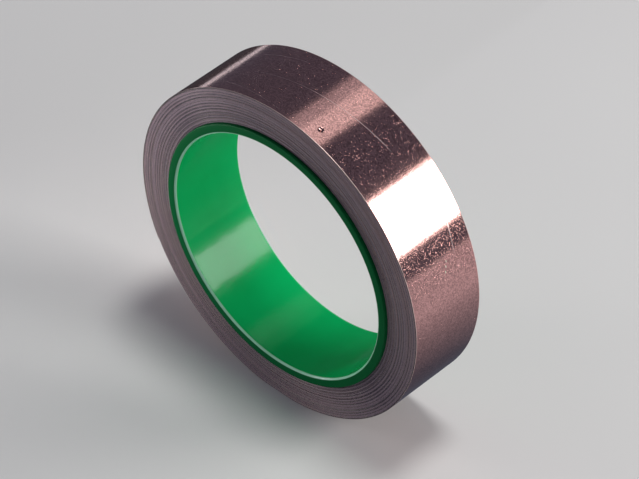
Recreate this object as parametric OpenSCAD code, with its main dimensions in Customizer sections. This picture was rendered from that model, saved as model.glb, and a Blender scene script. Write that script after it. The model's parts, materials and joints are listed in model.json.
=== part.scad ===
// Roll of copper foil tape: copper foil, adhesive and release liner wound on a plastic core.
// The roll stands on its rim. Its axis is Y, +Z is up, and the origin is the bore's centre.
// Angles are counted around the axis from +X towards +Z.

/* [Tape] */
// Width of the tape
tape_w = 25; // [10:0.5:50]
// Thickness of the copper foil
foil_t = 0.035; // [0.03:0.005:0.05]
// Thickness of the adhesive film under the foil
adhesive_t = 0.035; // [0.03:0.005:0.05]
// Thickness of the release liner
liner_t = 0.13; // [0.1:0.01:0.16]
// Number of turns on the roll
turns = 53; // [30:1:60]
// Width of the flat that the roll has sunk onto where it stands
stand_w = 11; // [10:0.5:12]

/* [Core] */
// Radius of the bore, that of a 3 inch core
bore_r = 38.1; // [30:0.1:50]
// Wall thickness of the core
core_wall = 2.9; // [2:0.1:5]
// Width of the core
core_w = 25; // [10:0.5:50]
// Radius of the rounded edge at each mouth of the bore
lip_r = 0.8; // [0.2:0.1:1.2]
// Radius of the core's outer edges
rim_r = 0.25; // [0.1:0.05:0.6]
// How far the core stands out of the winding at the front
core_push = 0.9; // [0:0.1:2]

/* [Start of the tape] */
// Length of the double-sided patch that holds the liner to the core
patch_len = 14; // [8:1:30]
// Width of that patch
patch_w = 18; // [6:1:24]
// Thickness of that patch
patch_t = 0.08; // [0.05:0.01:0.12]
// Where the patch begins
patch_at = 206; // [0:1:360]

/* [Free end] */
// Where the cut end of the tape lies
tip_at = 206; // [180:1:230]
// Length of tape between two bends of the free end, as an angle
link_angle = 7.5; // [6:0.5:9]
// How far the free end stands off the turn below it
end_lift = 0.06; // [0.05:0.01:0.2]
// How far the foil's tip stands off its liner
tip_lift = 0.03; // [0.02:0.01:0.1]
// Gap between two links of the free end
link_gap = 0.03; // [0.02:0.01:0.1]

/* [Hidden] */
LINKS = 8;
$fn = 360;
HALF_TURN = 180;
core_r = bore_r + core_wall;
pitch = foil_t + adhesive_t + liner_t;
// The last turn has a node for each layer, and the rest of the winding is one solid
wound_r = core_r + (turns - 1) * pitch;
// Height of the axis above what the roll stands on
stand_h = sqrt(pow(wound_r + pitch, 2) - pow(stand_w / 2, 2));
// Each turn is two half circles: the second is half a pitch larger, about a centre moved by half
// a pitch towards the cut end, so that it begins flush with the first and ends one pitch higher
far_r = wound_r + pitch / 2;
far_centre = [pitch / 2 * cos(tip_at), pitch / 2 * sin(tip_at)];
winding_front = core_w / 2 - core_push;
end_angle = (LINKS + 1) * link_angle;
root_at = tip_at + 2 * HALF_TURN - end_angle;
gap_angle = link_gap / (2 * PI * far_r) * 360;
patch_angle = patch_len / (2 * PI * core_r) * 360;
COPPER = [0.72, 0.5, 0.44];
COPPER_DARK = [0.62, 0.42, 0.37];
EDGE_GREY = [0.45, 0.4, 0.42];
GUM = [0.78, 0.7, 0.55];
LINER_WHITE = [0.86, 0.83, 0.76];
CORE_GREEN = [0.03, 0.5, 0.27];

// Turns a shape made about Z, with its front up, so that its axis is Y and its front faces -Y
module on_axis() {
    rotate([90, 0, 0]) children();
}

// A rectangle swept about the axis: a ring, or the part of one between two angles
module ring_part(r, t, front, width, from_at, to_at) {
    rotate_extrude(angle = to_at - from_at, start = from_at)
        translate([r, front - width])
            square([t, width]);
}

// The waste of a rounded corner at the origin of a shape that fills the quarter x > 0, y > 0
module corner_waste(r) {
    difference() {
        translate([-r, -r]) square(2 * r);
        translate([r, r]) circle(r);
    }
}

module core_section() {
    difference() {
        translate([bore_r, -core_w / 2]) square([core_wall, core_w]);
        for (side = [0, 1]) mirror([0, side]) {
            translate([bore_r, -core_w / 2]) corner_waste(lip_r);
            translate([core_r, -core_w / 2]) mirror([1, 0]) corner_waste(rim_r);
        }
    }
}

module core() {
    color(CORE_GREEN) on_axis() rotate_extrude() core_section();
}

module patch_shape() {
    ring_part(core_r, patch_t, patch_w / 2, patch_w, patch_at, patch_at + patch_angle);
}

module start_patch() {
    color(GUM) on_axis() patch_shape();
}

// A disc as high above the turn under the last one as height says, with the flat underneath.
// spare makes it that much wider at each side.
module standing_disc(height, spare) {
    back = winding_front - tape_w - spare;
    width = tape_w + 2 * spare;
    side = 3 * wound_r;
    difference() {
        translate([0, 0, back]) cylinder(h = width, r = wound_r + height);
        translate([-side / 2, pitch - height - stand_h - side, back - 1])
            cube([side, side, width + 2]);
    }
}

// Keeps the half of a shape that follows the cut end, where the roll stands
module near_half() {
    intersection() {
        children();
        ring_part(0, 2 * wound_r, winding_front + 1, tape_w + 2, tip_at, tip_at + HALF_TURN);
    }
}

// Every turn but the last, closed up into one solid. Its outline steps up by one pitch where
// the last turn begins.
module wound_turns() {
    back = winding_front - tape_w;
    color(EDGE_GREY) on_axis() difference() {
        union() {
            near_half() standing_disc(0, 0);
            translate(far_centre)
                ring_part(0, far_r, winding_front, tape_w, tip_at - HALF_TURN, tip_at);
        }
        translate([0, 0, back - 1]) cylinder(h = tape_w + 2, r = core_r);
        patch_shape();
    }
}

// One layer of the last turn, from the step in the winding to the root of the free end.
// height is how far the layer's inner face lies above the turn below.
module outer_turn(height, t) {
    on_axis() {
        near_half() difference() {
            standing_disc(height + t, 0);
            standing_disc(height, 1);
        }
        translate(far_centre)
            ring_part(far_r + height, t, winding_front, tape_w,
                      tip_at + HALF_TURN, root_at - gap_angle / 2);
    }
}

module outer_turn_liner() {
    color(LINER_WHITE) outer_turn(0, liner_t);
}

module outer_turn_adhesive() {
    color(GUM) outer_turn(liner_t, adhesive_t);
}

module outer_turn_foil() {
    color(COPPER) outer_turn(liner_t + adhesive_t, foil_t);
}

// One layer of one link of the free end; link LINKS + 1 is the tip
module end_layer(link, height, t) {
    from_at = root_at + (link - 1) * link_angle + gap_angle / 2;
    to_at = root_at + link * link_angle - gap_angle / 2;
    on_axis() translate(far_centre)
        ring_part(far_r + end_lift + height, t, winding_front, tape_w, from_at, to_at);
}

module liner_link(link) {
    color(LINER_WHITE) end_layer(link, 0, liner_t);
}

module adhesive_link(link) {
    color(GUM) end_layer(link, liner_t, adhesive_t);
}

module foil_link(link) {
    color(COPPER) end_layer(link, liner_t + adhesive_t, foil_t);
}

module liner_tip() {
    color(LINER_WHITE) end_layer(LINKS + 1, 0, liner_t);
}

module adhesive_tip() {
    color(GUM) end_layer(LINKS + 1, liner_t + tip_lift, adhesive_t);
}

module foil_tip() {
    color(COPPER_DARK) end_layer(LINKS + 1, liner_t + tip_lift + adhesive_t, foil_t);
}

core();
start_patch();
wound_turns();
outer_turn_liner();
outer_turn_adhesive();
outer_turn_foil();
for (link = [1 : LINKS]) {
    liner_link(link);
    adhesive_link(link);
    foil_link(link);
}
liner_tip();
adhesive_tip();
foil_tip();
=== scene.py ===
"""Copper foil tape roll: the looks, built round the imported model.

The roll's axis is Y. Angles are in degrees round it, from +X towards +Z. A place on the tape is
(wound, height, across): the angle wound since the start of the tape, the height above the inner
face of that turn, and the place along Y. Lengths are in metres.
"""

import json
import math

import bpy
import numpy as np
from mathutils import Matrix, Vector, noise


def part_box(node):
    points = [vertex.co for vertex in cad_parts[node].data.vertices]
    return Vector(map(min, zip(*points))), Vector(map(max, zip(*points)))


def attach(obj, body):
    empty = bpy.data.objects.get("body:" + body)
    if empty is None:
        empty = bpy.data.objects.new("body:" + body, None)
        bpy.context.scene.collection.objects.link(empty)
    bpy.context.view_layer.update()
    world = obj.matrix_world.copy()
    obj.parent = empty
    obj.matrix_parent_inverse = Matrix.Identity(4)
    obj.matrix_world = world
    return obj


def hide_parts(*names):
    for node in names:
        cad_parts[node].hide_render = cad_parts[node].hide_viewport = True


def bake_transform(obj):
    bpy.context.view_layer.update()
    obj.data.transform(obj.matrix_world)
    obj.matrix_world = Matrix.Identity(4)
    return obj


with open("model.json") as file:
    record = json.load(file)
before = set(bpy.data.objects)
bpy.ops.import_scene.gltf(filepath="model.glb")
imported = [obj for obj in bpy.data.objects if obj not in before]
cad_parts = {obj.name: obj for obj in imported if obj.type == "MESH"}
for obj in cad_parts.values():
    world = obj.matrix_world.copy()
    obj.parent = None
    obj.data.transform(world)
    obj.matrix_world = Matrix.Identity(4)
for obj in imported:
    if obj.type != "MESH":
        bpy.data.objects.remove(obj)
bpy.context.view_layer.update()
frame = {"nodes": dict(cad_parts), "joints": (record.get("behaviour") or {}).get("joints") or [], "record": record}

MM = 0.001

# ---------------------------------------------------------------- sizes, from the frame
CORE_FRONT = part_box("core")[0].y
CORE_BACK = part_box("core")[1].y
CORE_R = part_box("core")[1].x
BORE = next(m for m in frame["record"]["mounts"] if m["name"] == "core_bore")
BORE_R = BORE["dims"]["r_mm"] * MM

TAPE_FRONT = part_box("outer_turn_foil")[0].y
TAPE_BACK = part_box("outer_turn_foil")[1].y
FLOOR_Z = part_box("outer_turn_foil")[0].z
LAST_TURN_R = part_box("wound_turns")[1].x
LINER_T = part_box("outer_turn_liner")[1].x - LAST_TURN_R
GUM_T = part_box("outer_turn_adhesive")[1].x - LAST_TURN_R - LINER_T
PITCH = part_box("outer_turn_foil")[1].x - LAST_TURN_R
FOIL_AT = LINER_T + GUM_T
LAST_TURN = round((LAST_TURN_R - CORE_R) / PITCH)
TURN_STEP = (LAST_TURN_R - CORE_R) / LAST_TURN
FLAT_DEPTH = LAST_TURN_R + PITCH + FLOOR_Z

JOINTS = {j["name"]: Vector(j["pos_m"]) for j in frame["joints"]}
LINKS = len(JOINTS) - 1


def angle_of(place, centre=(0.0, 0.0)):
    """The angle of a place round a centre (x, z)."""
    return math.degrees(math.atan2(place.z - centre[1], place.x - centre[0])) % 360


def far_centre(tip_at):
    """The centre of every turn's second half, half a pitch from the axis towards the cut end."""
    tip = math.radians(tip_at)
    return TURN_STEP / 2 * math.cos(tip), TURN_STEP / 2 * math.sin(tip)


def free_end():
    """The angles of the free end's root, of one link of it, and of its tip."""
    centre = (0.0, 0.0)
    for _ in range(2):
        root = angle_of(JOINTS["tape_peel"], centre)
        split = angle_of(JOINTS["foil_split"], centre)
        link = (split - root) / LINKS
        centre = far_centre(split + link)
    return root, link, split + link


ROOT_AT, LINK, TIP_AT = free_end()
FAR_X, FAR_Z = far_centre(TIP_AT)
# Angles wound since the start of the last turn, which begins under the cut end
ROOT = ROOT_AT - TIP_AT + 360
SPLIT = 360 - LINK
BEND_START = ROOT - LINK / 2
END_LIFT = 0.06 * MM
TIP_LIFT = 0.03 * MM
SPLIT_ZONE = 0.67
FLAT_FADE = 3 * MM
LIP_R = 0.8 * MM
RIM_R = 0.25 * MM


def along_at(angle):
    """How far along the last turn an angle is, measured on the outside from its start."""
    return math.radians((angle - TIP_AT) % 360) * LAST_TURN_R


# ---------------------------------------------------------------- camera, as in the photograph
CAMERA_AZIMUTH = 43.63
CAMERA_ELEVATION = 42.29
CAMERA_DISTANCE = 1.0926
CAMERA_AIM = Vector((0.0033, 0.0018, -0.0007))
CAMERA_LENS = 225.4
SENSOR_W = 36.0


def direction(azimuth, elevation):
    """The way from the object to a viewer, where azimuth 0 is in front, at -Y."""
    a = math.radians(azimuth)
    e = math.radians(elevation)
    return Vector((math.sin(a) * math.cos(e), -math.cos(a) * math.cos(e), math.sin(e)))


TO_CAMERA = direction(CAMERA_AZIMUTH, CAMERA_ELEVATION)


def make_camera():
    data = bpy.data.cameras.new("camera")
    data.lens = CAMERA_LENS
    data.sensor_width = SENSOR_W
    camera = bpy.data.objects.new("camera", data)
    camera.location = CAMERA_AIM + TO_CAMERA * CAMERA_DISTANCE
    camera.rotation_euler = (-TO_CAMERA).to_track_quat("-Z", "Y").to_euler()
    bpy.context.scene.collection.objects.link(camera)
    bpy.context.scene.camera = camera


# ---------------------------------------------------------------- node helpers
def node(tree, kind, inputs=None, **settings):
    """A shader node. Inputs are values or the sockets of other nodes."""
    made = tree.nodes.new(kind)
    for key, value in settings.items():
        setattr(made, key, value)
    for key, value in (inputs or {}).items():
        if isinstance(value, bpy.types.NodeSocket):
            tree.links.new(value, made.inputs[key])
        else:
            made.inputs[key].default_value = value
    return made


def new_material(name):
    """An empty node material, and its Principled shader."""
    material = bpy.data.materials.new(name)
    material.use_nodes = True
    tree = material.node_tree
    tree.nodes.clear()
    shader = node(tree, "ShaderNodeBsdfPrincipled")
    node(tree, "ShaderNodeOutputMaterial", {"Surface": shader.outputs["BSDF"]})
    return material, tree, shader


def tape_place(tree, scale=(1, 1, 1)):
    """The place on the tape, (along, across, radius) in metres, stretched by scale."""
    own = node(tree, "ShaderNodeAttribute", attribute_name="tape_place")
    stretch = {0: own.outputs["Vector"], 1: scale}
    return node(tree, "ShaderNodeVectorMath", stretch, operation="MULTIPLY").outputs[0]


def object_place(tree, scale=(1, 1, 1)):
    """The place in the object's own space, in metres, stretched by scale."""
    own = node(tree, "ShaderNodeTexCoord").outputs["Object"]
    stretch = {0: own, 1: scale}
    return node(tree, "ShaderNodeVectorMath", stretch, operation="MULTIPLY").outputs[0]


def noise_at(tree, place, scale, detail=2.0, rough=0.5):
    """Smooth noise, from 0 to 1, at a place."""
    inputs = {"Vector": place, "Scale": scale, "Detail": detail, "Roughness": rough}
    return node(tree, "ShaderNodeTexNoise", inputs).outputs["Fac"]


def ranged(tree, value, low, high, from_low=0.3, from_high=0.7):
    """A value moved from one range to another, and held inside it."""
    inputs = {
        "Value": value, "From Min": from_low, "From Max": from_high, "To Min": low, "To Max": high,
    }
    return node(tree, "ShaderNodeMapRange", inputs).outputs["Result"]


def mixed(tree, share, first, second):
    """A colour between two others."""
    made = node(tree, "ShaderNodeMix", data_type="RGBA")
    pairs = {0: share, 6: first, 7: second}
    for index, value in pairs.items():
        if isinstance(value, bpy.types.NodeSocket):
            tree.links.new(value, made.inputs[index])
        else:
            made.inputs[index].default_value = value
    return made.outputs[2]


def maths(tree, operation, first, second=0.0):
    inputs = {0: first, 1: second}
    return node(tree, "ShaderNodeMath", inputs, operation=operation).outputs[0]


def bumped(tree, height, distance, strength=1.0, under=None):
    """A normal bumped by a height, over another bump."""
    inputs = {"Height": height, "Distance": distance, "Strength": strength}
    if under is not None:
        inputs["Normal"] = under
    return node(tree, "ShaderNodeBump", inputs).outputs["Normal"]


# ---------------------------------------------------------------- materials
COPPER = (1.0, 0.575, 0.515, 1)
COPPER_DULL = (0.48, 0.265, 0.245, 1)
SCRATCHED = (1.0, 0.76, 0.70, 1)
GRAIN_SCALE = 4300
SPECK_SCALE = 2700
PIT_SCALE = 2600
BURR_W = 0.22 * MM
ROLL_LINES = (40, 5200, 0)
SCRATCH_W = 0.11 * MM
# The share of a scratch over which it fades in, and out again
SCRATCH_FADE = 0.2
TARNISH_SCALE = 70
COPPER_ROUGHNESS = 0.105
# How deep each of the surface's marks is
GRAIN_DEPTH = 0.006 * MM
ROLL_LINE_DEPTH = 0.0012 * MM
PIT_DEPTH = 0.05 * MM
SCRATCH_DEPTH = 0.006 * MM
# Marks in the foil, as (angle, across) from the frame's own X axis and the roll's middle
DIMPLE = (75.8, -7.4 * MM)
DIMPLE_R = 0.50 * MM
DIMPLE_BUMP = 0.30 * MM
CRINKLED = (14.0, 33.0)
# Long scratches, each from one place to another
SCRATCHES = (
    ((50.0, 5.0 * MM), (117.0, -1.5 * MM)),
    ((84.0, -10.8 * MM), (119.0, -7.4 * MM)),
    ((43.0, 9.5 * MM), (20.0, 6.4 * MM)),
    ((118.0, 7.5 * MM), (96.0, 9.8 * MM)),
    ((214.0, 3.0 * MM), (262.0, 7.5 * MM)),
    ((300.0, -6.0 * MM), (332.0, -1.5 * MM)),
)


def scratch(tree, place, start, end, width):
    """1 on a straight scratch along the tape's surface, and 0 off it."""
    first = Vector((along_at(start[0]), start[1], 0))
    reach = Vector((along_at(end[0]), end[1], 0)) - first
    way = reach.normalized()
    across = Vector((-way.y, way.x, 0))
    inputs = {0: place, 1: first}
    own = node(tree, "ShaderNodeVectorMath", inputs, operation="SUBTRACT").outputs[0]
    off = node(tree, "ShaderNodeVectorMath", {0: own, 1: across}, operation="DOT_PRODUCT")
    far = node(tree, "ShaderNodeVectorMath", {0: own, 1: way}, operation="DOT_PRODUCT")
    line = ranged(tree, maths(tree, "ABSOLUTE", off.outputs["Value"]), 1.0, 0.0, 0.0, width)
    fade = SCRATCH_FADE * reach.length
    after = ranged(tree, far.outputs["Value"], 0.0, 1.0, 0.0, fade)
    before = ranged(tree, far.outputs["Value"], 1.0, 0.0, reach.length - fade, reach.length)
    return maths(tree, "MULTIPLY", line, maths(tree, "MULTIPLY", after, before))


def burred(tree, place):
    """1 on the rough burr along each slit edge of the foil, and 0 off it."""
    half = (TAPE_BACK - TAPE_FRONT) / 2
    across = node(tree, "ShaderNodeSeparateXYZ", {0: place}).outputs["Y"]
    off = maths(tree, "ABSOLUTE", maths(tree, "SUBTRACT", across, TAPE_FRONT + half))
    return ranged(tree, off, 0.0, 1.0, half - BURR_W, half - BURR_W / 2)


def crinkled(tree, place):
    """How much more pitted the foil is where it is crinkled."""
    along = node(tree, "ShaderNodeSeparateXYZ", {0: place}).outputs["X"]
    middle = (along_at(CRINKLED[0]) + along_at(CRINKLED[1])) / 2
    reach = (along_at(CRINKLED[1]) - along_at(CRINKLED[0])) / 2
    off = maths(tree, "ABSOLUTE", maths(tree, "SUBTRACT", along, middle))
    return ranged(tree, off, 0.07, 0.0, 0.5 * reach, reach)


def dimpled(tree, place):
    """The height of the foil round the dimple, from 0 at its bottom to 1."""
    inputs = {0: place, 1: (along_at(DIMPLE[0]), DIMPLE[1], 0)}
    own = node(tree, "ShaderNodeVectorMath", inputs, operation="SUBTRACT").outputs[0]
    flat = node(tree, "ShaderNodeVectorMath", {0: own, 1: (1, 1, 0)}, operation="MULTIPLY")
    gap = node(tree, "ShaderNodeVectorMath", {0: flat.outputs[0]}, operation="LENGTH")
    inputs = {
        "Value": gap.outputs["Value"], "From Min": 0.0, "From Max": 2 * DIMPLE_R,
        "To Min": 0.0, "To Max": 1.0,
    }
    return node(tree, "ShaderNodeMapRange", inputs, interpolation_type="SMOOTHSTEP").outputs[0]


def copper_material(name, roughness):
    """Rolled copper foil: grain, dark specks, pits, faint lines along the tape, tarnish, long
    scratches, a burr along each slit edge and the dimple."""
    material, tree, shader = new_material(name)
    place = tape_place(tree)
    tarnish = noise_at(tree, place, TARNISH_SCALE, 5, 0.65)
    grain = noise_at(tree, place, GRAIN_SCALE, 2, 0.8)
    pitted = maths(tree, "ADD", noise_at(tree, place, PIT_SCALE, 1, 0.6), crinkled(tree, place))
    pits = ranged(tree, pitted, 0.0, 1.0, 0.70, 0.80)
    dull = ranged(tree, tarnish, 0.0, 0.15, 0.42, 0.72)
    dots = noise_at(tree, place, SPECK_SCALE, 2, 0.9)
    specks = ranged(tree, dots, 0.0, 0.8, 0.44, 0.56)
    share = maths(tree, "ADD", dull, specks)
    marks = 0.0
    for start, end in SCRATCHES:
        marks = maths(tree, "MAXIMUM", marks, scratch(tree, place, start, end, SCRATCH_W))
    wear_and_lip_highlight = maths(tree, "MULTIPLY", marks, ranged(tree, tarnish, 0.25, 0.8))
    burr = burred(tree, place)
    bare = maths(tree, "MAXIMUM", wear_and_lip_highlight, burr)
    colour = mixed(tree, bare, mixed(tree, share, COPPER, COPPER_DULL), SCRATCHED)
    tree.links.new(colour, shader.inputs["Base Color"])
    gloss = ranged(tree, grain, roughness - 0.02, roughness + 0.03)
    dragged = maths(tree, "MULTIPLY", wear_and_lip_highlight, 0.5)
    torn = maths(tree, "MULTIPLY", burr, 0.35)
    rough = maths(tree, "ADD", gloss, maths(tree, "ADD", dragged, torn))
    tree.links.new(rough, shader.inputs["Roughness"])
    lines = noise_at(tree, tape_place(tree, ROLL_LINES), 1, 2, 0.6)
    bump = bumped(tree, grain, GRAIN_DEPTH)
    bump = bumped(tree, lines, ROLL_LINE_DEPTH, 1.0, bump)
    bump = bumped(tree, pits, PIT_DEPTH, 1.0, bump)
    unmarked = maths(tree, "SUBTRACT", 1.0, marks)
    bump = bumped(tree, unmarked, SCRATCH_DEPTH, 1.0, bump)
    bump = bumped(tree, dimpled(tree, place), DIMPLE_BUMP, 1.0, bump)
    tree.links.new(bump, shader.inputs["Normal"])
    tree.links.new(ranged(tree, burr, 1.0, 0.45, 0.0, 1.0), shader.inputs["Metallic"])
    return material


# Rings to a metre, where tighter and looser turns follow one another in the winding
RINGS = 1 / (0.9 * MM)
# What each pattern adds to an edge's tone, and how deep the tone's relief is
TURN_SHARE = 0.30
FLECK_SHARE = 0.70
RING_SHARE = 0.10
EDGE_DEPTH = 0.06 * MM
# The light and the dark tone of each layer's slit edge
COPPER_EDGE = ((0.70, 0.45, 0.44, 1), (0.14, 0.09, 0.10, 1))
PAPER_EDGE = ((0.27, 0.205, 0.265, 1), (0.035, 0.027, 0.04, 1))
GUM_EDGE = ((0.14, 0.11, 0.13, 1), (0.03, 0.025, 0.03, 1))


def edge_material(name, light, dark, metallic, roughness):
    """The slit edge of one of the tape's layers. Its tone changes from turn to turn."""
    material, tree, shader = new_material(name)
    by_turn = noise_at(tree, tape_place(tree, (0.12, 0, 2100)), 1, 1, 0.5)
    flecks = noise_at(tree, tape_place(tree, (2600, 2600, 3600)), 1, 2, 0.8)
    radius = node(tree, "ShaderNodeSeparateXYZ", {0: tape_place(tree)}).outputs["Z"]
    phase = maths(tree, "ADD", maths(tree, "MULTIPLY", radius, RINGS), by_turn)
    rings = maths(tree, "SINE", maths(tree, "MULTIPLY", phase, 2 * math.pi))
    shared = maths(tree, "MULTIPLY", by_turn, TURN_SHARE)
    mottled = maths(tree, "ADD", shared, maths(tree, "MULTIPLY", flecks, FLECK_SHARE))
    tone = maths(tree, "ADD", mottled, maths(tree, "MULTIPLY", rings, RING_SHARE))
    share = ranged(tree, tone, 0.0, 1.0, 0.42, 0.58)
    tree.links.new(mixed(tree, share, dark, light), shader.inputs["Base Color"])
    tree.links.new(
        ranged(tree, flecks, roughness - 0.1, roughness + 0.1), shader.inputs["Roughness"]
    )
    bump = bumped(tree, tone, EDGE_DEPTH)
    tree.links.new(bump, shader.inputs["Normal"])
    shader.inputs["Metallic"].default_value = metallic
    return material


def paper_material():
    """Release paper: pale, glassine smooth, with a faint fibre cloud."""
    material, tree, shader = new_material("release_paper")
    cloud = noise_at(tree, tape_place(tree), 700, 5, 0.65)
    fibres = noise_at(tree, tape_place(tree, (1400, 5200, 0)), 1, 3, 0.6)
    tone = ranged(tree, cloud, 0.0, 1.0)
    tree.links.new(
        mixed(tree, tone, (0.80, 0.77, 0.70, 1), (0.90, 0.88, 0.82, 1)), shader.inputs["Base Color"]
    )
    tree.links.new(ranged(tree, cloud, 0.34, 0.5), shader.inputs["Roughness"])
    tree.links.new(bumped(tree, fibres, 0.006 * MM), shader.inputs["Normal"])
    return material


def gum_material():
    """Acrylic adhesive: a clear, slightly yellow film with a soft gloss and small bubbles."""
    material, tree, shader = new_material("acrylic_gum")
    bubbles = noise_at(tree, tape_place(tree), 2300, 3, 0.6)
    tone = ranged(tree, bubbles, 0.0, 1.0)
    tree.links.new(
        mixed(tree, tone, (0.52, 0.44, 0.32, 1), (0.62, 0.55, 0.42, 1)), shader.inputs["Base Color"]
    )
    tree.links.new(ranged(tree, bubbles, 0.16, 0.3), shader.inputs["Roughness"])
    tree.links.new(bumped(tree, bubbles, 0.012 * MM), shader.inputs["Normal"])
    return material


GREEN = (0.001, 0.43, 0.115, 1)
GREEN_DEEP = (0.0005, 0.36, 0.09, 1)
# A darker green painted on the core's end faces as shade
GREEN_END_SHADED = (0.0003, 0.115, 0.03, 1)
# A pale green painted on the bore's rounded lips as a highlight
GREEN_LIP_HIGHLIGHT = (0.50, 0.85, 0.66, 1)


def plastic_material():
    """Moulded green plastic: glossy in the bore, duller on its ends where shade is also painted darker, with a
    pale highlight painted along its inner lips.
    """
    material, tree, shader = new_material("green_plastic")
    place = object_place(tree)
    cloud = noise_at(tree, place, 45, 3, 0.5)
    specks = noise_at(tree, place, 2400, 3, 0.7)
    body = mixed(tree, ranged(tree, cloud, 0.0, 1.0), GREEN_DEEP, GREEN)
    own = node(tree, "ShaderNodeTexCoord")
    facing = node(tree, "ShaderNodeSeparateXYZ", {0: own.outputs["Normal"]}).outputs["Y"]
    turned_out = maths(tree, "ABSOLUTE", facing)
    flat = node(tree, "ShaderNodeVectorMath", {0: place, 1: (1, 0, 1)}, operation="MULTIPLY")
    radius = node(tree, "ShaderNodeVectorMath", {0: flat.outputs[0]}, operation="LENGTH")
    inner = ranged(tree, radius.outputs["Value"], 1.0, 0.0, BORE_R + 0.6 * LIP_R, BORE_R + LIP_R)
    outer = maths(tree, "SUBTRACT", 1.0, inner)
    # End faces get painted shade in a darker green, and also more roughness and less gloss
    end_face = maths(tree, "MAXIMUM", outer, ranged(tree, turned_out, 0.0, 1.0, 0.75, 0.97))
    # The band of the rounded inner lip, where a pale highlight is painted into the base colour
    rising = ranged(tree, turned_out, 0.0, 1.0, 0.15, 0.40)
    falling = ranged(tree, turned_out, 1.0, 0.0, 0.88, 0.98)
    lip_highlight_mask = maths(tree, "MULTIPLY", maths(tree, "MULTIPLY", rising, falling), inner)
    wear_and_lip_highlight = maths(tree, "MULTIPLY", lip_highlight_mask, ranged(tree, cloud, 0.65, 1.0))
    colour = mixed(tree, wear_and_lip_highlight, mixed(tree, end_face, body, GREEN_END_SHADED), GREEN_LIP_HIGHLIGHT)
    tree.links.new(colour, shader.inputs["Base Color"])
    smooth = ranged(tree, specks, 0.13, 0.20)
    rough = maths(tree, "ADD", smooth, maths(tree, "MULTIPLY", end_face, 0.3))
    tree.links.new(rough, shader.inputs["Roughness"])
    waves = noise_at(tree, place, 130, 3, 0.6)
    bump = bumped(tree, waves, 0.10 * MM)
    bump = bumped(tree, noise_at(tree, place, 800, 2, 0.6), 0.014 * MM, 1.0, bump)
    bump = bumped(tree, specks, 0.0015 * MM, 1.0, bump)
    tree.links.new(bump, shader.inputs["Normal"])
    tree.links.new(ranged(tree, end_face, 0.24, 0.06, 0.0, 1.0), shader.inputs["Specular IOR Level"])
    return material


# ---------------------------------------------------------------- the tape's own geometry
def tape_points(wound, height, across):
    """Points of the spiral. Each turn is two half circles, the second half a step larger."""
    turn, local = np.divmod(wound, 360.0)
    far = local >= 180.0
    r = CORE_R + turn * TURN_STEP + np.where(far, TURN_STEP / 2, 0) + height
    angle = np.radians(TIP_AT + local)
    x = r * np.cos(angle) + np.where(far, FAR_X, 0)
    z = r * np.sin(angle) + np.where(far, FAR_Z, 0)
    # The turns have sunk onto the flat that the roll stands on, the outer ones most
    sunk = FLAT_DEPTH * np.clip((r - LAST_TURN_R) / FLAT_FADE + 1, 0, 1)
    return np.stack([x, np.broadcast_to(across, x.shape), np.maximum(z, sunk - r)], -1)


def places_of(wound, height, across):
    """(along, across, radius) for each point, which the materials read."""
    r = CORE_R + wound / 360 * TURN_STEP + height
    along = np.radians(wound - 360 * LAST_TURN) * LAST_TURN_R
    return np.stack([along, np.broadcast_to(across, r.shape), r], -1)


def strip(name, wound, across, low, high, materials):
    """A closed strip of tape. wound and across are grids, with rows along the tape, and low and
    high are the heights of its inner and outer face. materials are for its faces and edges."""
    rows, cols = wound.shape
    count = rows * cols
    outer = tape_points(wound, high, across).reshape(-1, 3)
    inner = tape_points(wound, low, across).reshape(-1, 3)
    at = np.arange(count).reshape(rows, cols)
    a, b, c, d = at[:-1, :-1], at[1:, :-1], at[1:, 1:], at[:-1, 1:]
    top = np.stack([a, d, c, b], -1).reshape(-1, 4)
    bottom = np.stack([a, b, c, d], -1).reshape(-1, 4) + count
    front = np.stack([at[:-1, 0], at[1:, 0], at[1:, 0] + count, at[:-1, 0] + count], -1)
    back = np.stack([at[:-1, -1], at[:-1, -1] + count, at[1:, -1] + count, at[1:, -1]], -1)
    start = np.stack([at[0, :-1], at[0, :-1] + count, at[0, 1:] + count, at[0, 1:]], -1)
    end = np.stack([at[-1, :-1], at[-1, 1:], at[-1, 1:] + count, at[-1, :-1] + count], -1)
    faces = np.concatenate([top, bottom, front, back, start, end])
    mesh = bpy.data.meshes.new(name)
    mesh.from_pydata(np.concatenate([outer, inner]), [], faces.tolist())
    for material in materials:
        mesh.materials.append(material)
    edge = np.ones(len(faces), np.int32)
    edge[:len(top) + len(bottom)] = 0
    mesh.polygons.foreach_set("material_index", edge)
    places = np.concatenate(
        [places_of(wound, high, across), places_of(wound, low, across)]
    ).astype(np.float32)
    attribute = mesh.attributes.new("tape_place", "FLOAT_VECTOR", "POINT")
    attribute.data.foreach_set("vector", places.ravel())
    return placed(name, mesh)


SHARP = math.radians(40)


def placed(name, mesh):
    """An object of a finished mesh, smooth but for its sharp edges."""
    mesh.update()
    mesh.shade_smooth()
    mesh.set_sharp_from_angle(angle=SHARP)
    made = bpy.data.objects.new(name, mesh)
    bpy.context.scene.collection.objects.link(made)
    return made


def graded(low, high, step, spots=()):
    """Values from low to high, closer together in each spot, which is (from, to, step)."""
    values = [low]
    while values[-1] < high - 1e-9:
        here = values[-1]
        steps = [s[2] for s in spots if s[0] - step < here < s[1]]
        values.append(min(here + min(steps, default=step), high))
    if values[-1] - values[-2] < step / 10:
        del values[-2]
    return np.array(values)


def grid(along, across):
    """Two grids, rows along the tape and columns across it."""
    return np.meshgrid(along, across, indexing="ij")


def eased(value):
    """0 to 1, with no corner at either end."""
    held = np.clip(value, 0, 1)
    return held * held * (3 - 2 * held)


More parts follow.
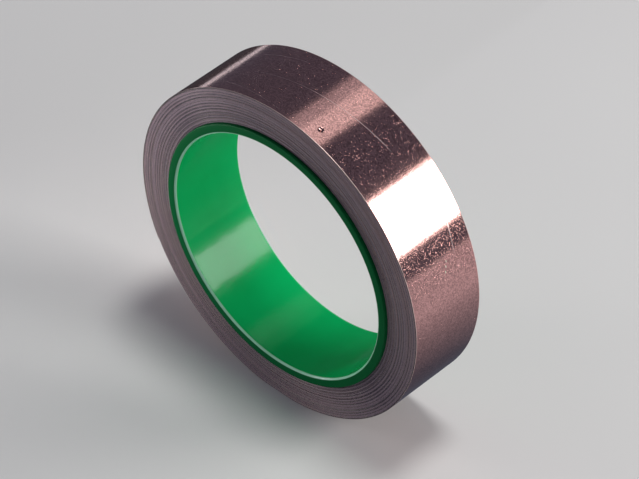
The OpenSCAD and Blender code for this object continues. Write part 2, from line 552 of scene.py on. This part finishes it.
def ripples(along, across, length, seed):
    """Noise from -1 to 1 on the tape's surface, as long as length."""
    spots = zip((along / length).ravel(), (across / length).ravel())
    return np.reshape([noise.noise((u, v, seed)) for u, v in spots], along.shape)


# ---------------------------------------------------------------- the wound turns
WANDER = 0.14 * MM
WOUND_STEP = 2.5
GUM_RECESS = 0.03 * MM


def wander(wound):
    """How far each turn's front edge lies behind the foremost one. It differs between turns."""
    random = np.random.default_rng(7)
    knots = np.arange(0, 360 * (LAST_TURN + 1) + 181, 180.0)
    return WANDER * np.interp(wound, knots, random.random(len(knots)))


def wound_strip(name, start, end, step, low, high, materials, recess=0.0):
    """A strip with plain edges, as wide as the tape but for the wander."""
    along = graded(start, end, step)
    offset = wander(along)
    across = np.stack([
        TAPE_FRONT + offset + recess,
        TAPE_BACK - WANDER + offset - recess,
    ], -1)
    wound = np.repeat(along[:, None], 2, 1)
    return strip(name, wound, across, low, high, materials)


def make_wound_turns(look):
    """Every turn but the last, as three strips wound together."""
    end = 360.0 * LAST_TURN
    foil = wound_strip(
        "wound_foil", 0, end, WOUND_STEP, FOIL_AT, TURN_STEP, (look["copper"], look["copper_edge"])
    )
    gum = wound_strip(
        "wound_adhesive", 0, end, WOUND_STEP, LINER_T, FOIL_AT,
        (look["gum"], look["gum_edge"]), GUM_RECESS,
    )
    liner = wound_strip(
        "wound_liner", 0, end, WOUND_STEP, 0.0, LINER_T, (look["paper"], look["paper_edge"])
    )
    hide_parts("wound_turns")
    for made, slot in ((foil, "wound_edges"), (gum, "adhesive"), (liner, "liner")):
        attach(made, "root")


# ---------------------------------------------------------------- the last turn
FINE_STEP = 0.25
EDGE_ROLL = 0.30 * MM
EDGE_DROP = 0.05 * MM
DIMPLE_DEPTH = 0.17 * MM
DIMPLE_STEP = 0.08
# How many degrees of finer rows lie before and after a crease's start, and each side of the dimple
CREASE_BEFORE = 2
CREASE_AFTER = 6
DIMPLE_SPAN = 0.8
# Creases, each from one place, as (angle, across), to another, and its depth
CREASES = (
    ((17.5, 2.0 * MM), (22.0, 3.6 * MM), 0.05 * MM),
    ((21.5, 5.6 * MM), (27.0, 4.9 * MM), 0.03 * MM),
    ((340.0, -9.6 * MM), (344.0, -11.0 * MM), 0.04 * MM),
)
CREASE_W = 0.45 * MM
CRINKLE_DEPTH = 0.006 * MM
CRINKLE_LENGTH = 1.1 * MM
WAVE_DEPTH = 0.004 * MM
WAVE_LENGTH = 9 * MM
# Nicks in the back edge, as (angle, half width in degrees, depth)
NICKS = ((343.0, 0.8, 0.22 * MM), (349.5, 0.5, 0.14 * MM), (356.0, 0.9, 0.12 * MM))

# How much of a nick the column inside the edge follows
NICK_INNER = 0.8


def turned(angle, at):
    """How far an angle is past another, from -180 to 180."""
    return (angle - at + 180) % 360 - 180


def dents(wound, across):
    """How far the foil has sunk at each point of the last turn."""
    angle = TIP_AT + wound
    along = np.radians(wound) * LAST_TURN_R
    dent = WAVE_DEPTH * (0.5 + 0.5 * ripples(along, across, WAVE_LENGTH, 1.0))
    middle = (CRINKLED[0] + CRINKLED[1]) / 2
    reach = (CRINKLED[1] - CRINKLED[0]) / 2
    inside = eased(1.3 - 1.3 * np.abs(turned(angle, middle)) / reach)
    dent += CRINKLE_DEPTH * inside * (1 + ripples(along, across, CRINKLE_LENGTH, 2.0))
    gap = np.hypot(np.radians(turned(angle, DIMPLE[0])) * LAST_TURN_R, across - DIMPLE[1])
    dent += DIMPLE_DEPTH * np.exp(-(gap / DIMPLE_R) ** 2)
    for start, end, depth in CREASES:
        dent += depth * np.maximum(0, 1 - segment_gap(angle, across, start, end) / CREASE_W)
    to_edge = np.minimum(across - TAPE_FRONT, TAPE_BACK - across)
    dent += EDGE_DROP * np.clip(1 - to_edge / EDGE_ROLL, 0, 1) ** 2
    return dent


def segment_gap(angle, across, start, end):
    """How far each point lies from a straight line on the tape."""
    u = np.radians(turned(angle, start[0])) * LAST_TURN_R
    v = across - start[1]
    end_u = math.radians(turned(end[0], start[0])) * LAST_TURN_R
    end_v = end[1] - start[1]
    share = np.clip((u * end_u + v * end_v) / (end_u ** 2 + end_v ** 2), 0, 1)
    return np.hypot(u - share * end_u, v - share * end_v)


def lifted(wound):
    """How far the free end stands off the turn below, from nothing a link before its root."""
    return END_LIFT * eased((wound - BEND_START + 2 * LINK) / (2 * LINK))


def rows_of(start, end, step):
    """Angles along a stretch of the last turn, closer together at the marks."""
    marks = [crease[0][0] for crease in CREASES]
    starts = [(at - TIP_AT) % 360 for at in marks]
    spots = [(at - CREASE_BEFORE, at + CREASE_AFTER, FINE_STEP) for at in starts]
    dimple = (DIMPLE[0] - TIP_AT) % 360
    spots.append((dimple - DIMPLE_SPAN, dimple + DIMPLE_SPAN, DIMPLE_STEP))
    return graded(start, end, step, spots)


def columns_of(step, recess):
    """Places across the tape, closer together at its edges and at the dimple."""
    front = TAPE_FRONT + WANDER / 2 + recess
    back = TAPE_BACK - WANDER / 2 - recess
    spots = [
        (front, front + EDGE_ROLL, EDGE_ROLL / 4),
        (back - EDGE_ROLL, back, EDGE_ROLL / 4),
        (DIMPLE[1] - 2.5 * DIMPLE_R, DIMPLE[1] + 2.5 * DIMPLE_R, DIMPLE_R / 3.5),
    ]
    return graded(front, back, step, spots)


def last_turn_strip(name, rows, columns, low, high, lift, materials):
    """A stretch of one layer of the last turn. Marks squeeze the whole turn's thickness."""
    wound, across = grid(rows, columns)
    squeeze = 1 - dents(wound, across) / TURN_STEP
    lift = lift(wound)
    for at, half, depth in NICKS:
        nick = depth * np.maximum(0, 1 - np.abs(turned(TIP_AT + wound[:, -1], at)) / half)
        across[:, -1] -= nick
        across[:, -2] -= nick * NICK_INNER
    turned_in = 360.0 * LAST_TURN + wound
    return strip(name, turned_in, across, low * squeeze + lift, high * squeeze + lift, materials)


def tip_lifted(wound):
    """The same for the foil's tip and its adhesive, which also stand off the liner."""
    start = SPLIT - LINK / 2
    apart = eased((wound - start) / (SPLIT - SPLIT_ZONE - start))
    return lifted(wound) + TIP_LIFT * apart


LAYERS = {
    "liner": (0.0, LINER_T, "paper", "liner"),
    "adhesive": (LINER_T, FOIL_AT, "gum", "adhesive"),
    "foil": (FOIL_AT, TURN_STEP, "copper", "copper_foil"),
}
ROW_STEPS = {"liner": 1.5, "adhesive": 1.5, "foil": 0.6}
COLUMN_STEPS = {"liner": 2.5 * MM, "adhesive": 2.5 * MM, "foil": 0.55 * MM}
BEND_STEP = 0.5


def layer_piece(layer, name, start, end, lift, look, step=BEND_STEP):
    """A stretch of one layer of the last turn."""
    low, high, finish, slot = LAYERS[layer]
    recess = GUM_RECESS if layer == "adhesive" else 0.0
    columns = columns_of(COLUMN_STEPS[layer], recess)
    materials = (look[finish], look[finish + "_edge"])
    rows = rows_of(start, end, step)
    made = last_turn_strip(name, rows, columns, low, high, lift, materials)
    return made


def make_last_turn(look):
    """The last turn as far as the free end: one piece for each layer."""
    for layer, step in ROW_STEPS.items():
        made = layer_piece(layer, "outer_" + layer, 0.0, BEND_START, lifted, look, step)
        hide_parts("outer_turn_" + layer)
        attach(made, "root")


def make_free_end(look):
    """The free end: each layer is cut at the middle of each link, so that each piece spans one joint."""
    for layer in LAYERS:
        for link in range(1, LINKS + 1):
            start = BEND_START + (link - 1) * LINK
            end = start + LINK
            name = layer + "_bend_" + str(link)
            made = layer_piece(layer, name, start, end, lifted, look)
            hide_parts(layer + "_" + str(link))
            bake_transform(made)


def make_tip(look):
    """The last stretch of the free end, where the foil and its adhesive leave the liner."""
    start = SPLIT - LINK / 2
    last_body = "tape_end_" + str(LINKS)
    for layer in LAYERS:
        lift = lifted if layer == "liner" else tip_lifted
        made = layer_piece(layer, layer + "_end", start, 360.0, lift, look)
        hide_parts(layer + "_tip")
        if layer == "liner":
            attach(made, last_body)
        else:
            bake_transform(made)


# ---------------------------------------------------------------- the core
CORE_SEGMENTS = 288


def arc(centre, radius, start, end, count):
    """Points of an arc in the core's section, as (radius, along the axis)."""
    angles = np.radians(np.linspace(start, end, count))
    return [(centre[0] + radius * math.cos(a), centre[1] + radius * math.sin(a)) for a in angles]


def core_section():
    """The core's outline, anticlockwise: bore, back end, outside, front end."""
    outline = arc((BORE_R + LIP_R, CORE_FRONT + LIP_R), LIP_R, 180, 270, 9)
    outline += arc((CORE_R - RIM_R, CORE_FRONT + RIM_R), RIM_R, 270, 360, 5)
    outline += arc((CORE_R - RIM_R, CORE_BACK - RIM_R), RIM_R, 0, 90, 5)
    outline += arc((BORE_R + LIP_R, CORE_BACK - LIP_R), LIP_R, 90, 180, 9)
    for at in np.linspace(CORE_BACK - LIP_R, CORE_FRONT + LIP_R, 16)[1:-1]:
        outline.append((BORE_R, at))
    return np.array(outline)


def make_core(look):
    """The plastic core, turned from its section."""
    section = core_section()
    count = len(section)
    angles = np.linspace(0, 2 * math.pi, CORE_SEGMENTS, endpoint=False)
    r = section[None, :, 0]
    x = r * np.cos(angles)[:, None]
    z = r * np.sin(angles)[:, None]
    y = np.broadcast_to(section[None, :, 1], x.shape)
    points = np.stack([x, y, z], -1).reshape(-1, 3)
    at = np.arange(len(points)).reshape(CORE_SEGMENTS, count)
    ahead = np.roll(at, -1, 0)
    faces = np.stack([at, np.roll(at, -1, 1), np.roll(ahead, -1, 1), ahead], -1).reshape(-1, 4)
    mesh = bpy.data.meshes.new("core_tube")
    mesh.from_pydata(points, [], faces.tolist())
    mesh.materials.append(look["plastic"])
    made = placed("core_tube", mesh)
    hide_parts("core")
    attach(made, "root")


def finish_patch(look):
    """The patch that holds the first turn to the core keeps its CAD shape."""
    patch = frame["nodes"]["start_patch"]
    patch.data.materials.clear()
    patch.data.materials.append(look["patch"])


# ---------------------------------------------------------------- stage
FLOOR_HALF = 4.0
FLOOR_TONE = (0.78, 0.77, 0.75, 1)


def make_floor():
    material, tree, shader = new_material("studio_floor")
    cloud = noise_at(tree, object_place(tree), 6, 3, 0.5)
    darker = tuple(0.97 * value for value in FLOOR_TONE[:3]) + (1,)
    tone = mixed(tree, ranged(tree, cloud, 0.0, 1.0), darker, FLOOR_TONE)
    tree.links.new(tone, shader.inputs["Base Color"])
    shader.inputs["Roughness"].default_value = 0.75
    h = FLOOR_HALF
    mesh = bpy.data.meshes.new("floor")
    corners = [(-h, -h, FLOOR_Z), (h, -h, FLOOR_Z), (h, h, FLOOR_Z), (-h, h, FLOOR_Z)]
    mesh.from_pydata(corners, [], [(0, 1, 2, 3)])
    mesh.materials.append(material)
    floor = bpy.data.objects.new("floor", mesh)
    bpy.context.scene.collection.objects.link(floor)


def mirrored(angle):
    """Where the roll's outside, at an angle, mirrors the camera's view to."""
    a = math.radians(angle)
    normal = Vector((math.cos(a), 0, math.sin(a)))
    return 2 * normal.dot(TO_CAMERA) * normal - TO_CAMERA


def band_frame(band, distance):
    """The place, turn and height of a card that the copper shows between two angles."""
    rays = [mirrored(angle) for angle in band]
    ahead = Vector((rays[0].x + rays[1].x, 0, rays[0].z + rays[1].z)).normalized()
    side = Vector((0, 1, 0)).cross(ahead)
    hits = []
    for angle, ray in zip(band, rays):
        start = on_outside(angle)
        hits.append(start + ray * ((distance - start.dot(ahead)) / ray.dot(ahead)))
    turn = Matrix((side, (0, 1, 0), ahead)).transposed().to_4x4()
    place = Matrix.Translation((hits[0] + hits[1]) / 2) @ turn
    return place, abs((hits[0] - hits[1]).dot(side))


def on_outside(angle):
    a = math.radians(angle)
    return Vector((math.cos(a), 0, math.sin(a))) * (LAST_TURN_R + PITCH)


def floor_hit(angle):
    """Where the floor shows in the roll's outside at an angle."""
    start = on_outside(angle)
    ray = mirrored(angle)
    return start + ray * ((FLOOR_Z - start.z) / ray.z)


def band_light(name, band, distance, width, radiance, colour):
    """A softbox that the copper shows between two angles, with its long sides along Y."""
    place, height = band_frame(band, distance)
    data = bpy.data.lights.new(name, "AREA")
    data.shape = "RECTANGLE"
    data.size = height
    data.size_y = width
    data.energy = math.pi * height * width * radiance
    data.color = colour
    light = bpy.data.objects.new(name, data)
    light.matrix_world = place
    light.visible_camera = False
    bpy.context.scene.collection.objects.link(light)


DARK = (0.070, 0.076, 0.106)
TABLE_DARK = (0.045, 0.042, 0.050)
# The table's tones in the copper, a painted shadow that is dark near the roll's foot and paler away
# from it, and how far from the origin the dark one ends and the pale one begins
SHADED = (0.070, 0.080, 0.108, 1)
SUNLIT = (0.450, 0.432, 0.477, 1)
SHADED_TO = 0.055
SUNLIT_FROM = 0.150


def card(name, corners, tone, matrix=None):
    """A studio card that only shows in gloss: it tones what the copper and the bore mirror."""
    material = bpy.data.materials.new(name)
    material.use_nodes = True
    tree = material.node_tree
    tree.nodes.clear()
    glow = node(tree, "ShaderNodeEmission", {"Color": tone(tree)})
    node(tree, "ShaderNodeOutputMaterial", {"Surface": glow.outputs[0]})
    mesh = bpy.data.meshes.new(name)
    mesh.from_pydata(corners, [], [(0, 1, 2, 3)])
    mesh.materials.append(material)
    made = bpy.data.objects.new(name, mesh)
    if matrix:
        made.matrix_world = matrix
    made.visible_camera = False
    made.visible_diffuse = False
    made.visible_shadow = False
    made.visible_transmission = False
    bpy.context.scene.collection.objects.link(made)


def plain(colour):
    """A card's tone: the same all over."""
    return lambda tree: (*colour, 1)


def table_tone(tree):
    """A card's tone: a painted shadow, dark round the roll's foot, and paler away from it."""
    own = object_place(tree, (1, 1, 0))
    far = node(tree, "ShaderNodeVectorMath", {0: own}, operation="LENGTH").outputs["Value"]
    return mixed(tree, ranged(tree, far, 0.0, 1.0, SHADED_TO, SUNLIT_FROM), SHADED, SUNLIT)


def band_card(name, band, distance, width, colour=DARK):
    """An upright card that the copper shows between two angles."""
    place, height = band_frame(band, distance)
    h = height / 2
    w = width / 2
    card(name, [(-h, -w, 0), (h, -w, 0), (h, w, 0), (-h, w, 0)], plain(colour), place)


def floor_card(name, x, y, tone):
    """A card that lies over a stretch of the floor."""
    z = FLOOR_Z + 0.5 * MM
    card(name, [(x[0], y[0], z), (x[1], y[0], z), (x[1], y[1], z), (x[0], y[1], z)], tone)


FILL_AT = Vector((-0.17, -0.10, -0.01))
FILL_AIM = Vector((-0.04, 0.0, 0.01))
FILL_SIDE = 0.06
FILL_RADIANCE = 3.4


TABLE_X = 0.06
TABLE_Y = (-0.08, 0.45)
FRONT_TABLE_X = (-0.60, 0.30)
FRONT_TABLE_Y = (-0.60, -0.09)
FRONT_CARD_AT = Vector((0.0, -1.3, 0.7))
FRONT_CARD_HALF = (1.2, 0.6)
FRONT_CARD_TONE = (0.40, 0.38, 0.38)
SUN_FROM = Vector((0.10, 0.12, 0.99))
SUN_STRENGTH = 1.1
SUN_ANGLE = 14
FILL_SPREAD = 70


def make_softboxes_and_flags():
    """The lights that the copper mirrors, and the dark cards beside them."""
    band_light("key_softbox", band=(31.3, 49.3), distance=0.95, width=0.55, radiance=9.0,
               colour=(1.0, 0.985, 0.97))
    band_light("top_strip", band=(72.6, 80.5), distance=0.9, width=0.5, radiance=0.70,
               colour=(1.0, 0.97, 0.97))
    band_light("top_strip_edge", band=(80.5, 85.5), distance=0.9, width=0.5, radiance=0.33,
               colour=(1.0, 0.97, 1.0))
    band_card("right_flag", band=(22.6, 31.2), distance=0.42, width=0.9)
    band_light("left_strip", band=(122.4, 124.4), distance=0.30, width=0.20, radiance=1.1,
               colour=(0.80, 0.92, 1.0))
    band_card("left_flag", band=(112.0, 122.2), distance=0.34, width=0.4)
    band_card("left_low_flag", band=(124.6, 130.0), distance=0.20, width=0.4, colour=TABLE_DARK)


def make_table_cards():
    """The cards that stand in for the table, and for what is in front of the roll."""
    right = (-TABLE_X, floor_hit(22.5).x)
    left = (floor_hit(121.0).x, -TABLE_X)
    floor_card("right_table", right, TABLE_Y, table_tone)
    floor_card("left_table", left, TABLE_Y, plain(TABLE_DARK))
    floor_card("front_table", FRONT_TABLE_X, FRONT_TABLE_Y, plain(TABLE_DARK))
    front = Matrix.Translation(FRONT_CARD_AT) @ Matrix.Rotation(math.radians(90), 4, "X")
    w, h = FRONT_CARD_HALF
    corners = [(-w, -h, 0), (w, -h, 0), (w, h, 0), (-w, h, 0)]
    card("front_card", corners, plain(FRONT_CARD_TONE), front)


def make_sun():
    data = bpy.data.lights.new("overhead", "SUN")
    data.energy = SUN_STRENGTH
    data.angle = math.radians(SUN_ANGLE)
    sun = bpy.data.objects.new("overhead", data)
    sun.rotation_euler = SUN_FROM.to_track_quat("Z", "Y").to_euler()
    bpy.context.scene.collection.objects.link(sun)


def make_fill():
    """A small lamp low on the left, which lights the side face."""
    data = bpy.data.lights.new("left_fill", "AREA")
    data.shape = "SQUARE"
    data.size = FILL_SIDE
    data.energy = math.pi * FILL_SIDE ** 2 * FILL_RADIANCE
    data.spread = math.radians(FILL_SPREAD)
    fill = bpy.data.objects.new("left_fill", data)
    fill.location = FILL_AT
    fill.rotation_euler = (FILL_AT - FILL_AIM).to_track_quat("Z", "Y").to_euler()
    fill.visible_camera = False
    bpy.context.scene.collection.objects.link(fill)


def make_world():
    world = bpy.data.worlds.new("studio")
    world.use_nodes = True
    background = world.node_tree.nodes["Background"]
    background.inputs["Color"].default_value = (*DARK, 1)
    background.inputs["Strength"].default_value = 1.0
    bpy.context.scene.world = world
    bpy.context.scene.view_settings.view_transform = "Standard"


# ---------------------------------------------------------------- the roll
def make_looks():
    return {
        "copper": copper_material("copper_foil", COPPER_ROUGHNESS),
        "copper_edge": edge_material("copper_edge", *COPPER_EDGE, metallic=1.0, roughness=0.42),
        "paper": paper_material(),
        "paper_edge": edge_material("paper_edge", *PAPER_EDGE, metallic=0.0, roughness=0.6),
        "gum": gum_material(),
        "gum_edge": edge_material("gum_edge", *GUM_EDGE, metallic=0.0, roughness=0.4),
        "patch": gum_material(),
        "plastic": plastic_material(),
    }


make_camera()
make_floor()
make_softboxes_and_flags()
make_table_cards()
make_sun()
make_fill()
make_world()
looks = make_looks()
make_core(looks)
finish_patch(looks)
make_wound_turns(looks)
make_last_turn(looks)
make_free_end(looks)
make_tip(looks)
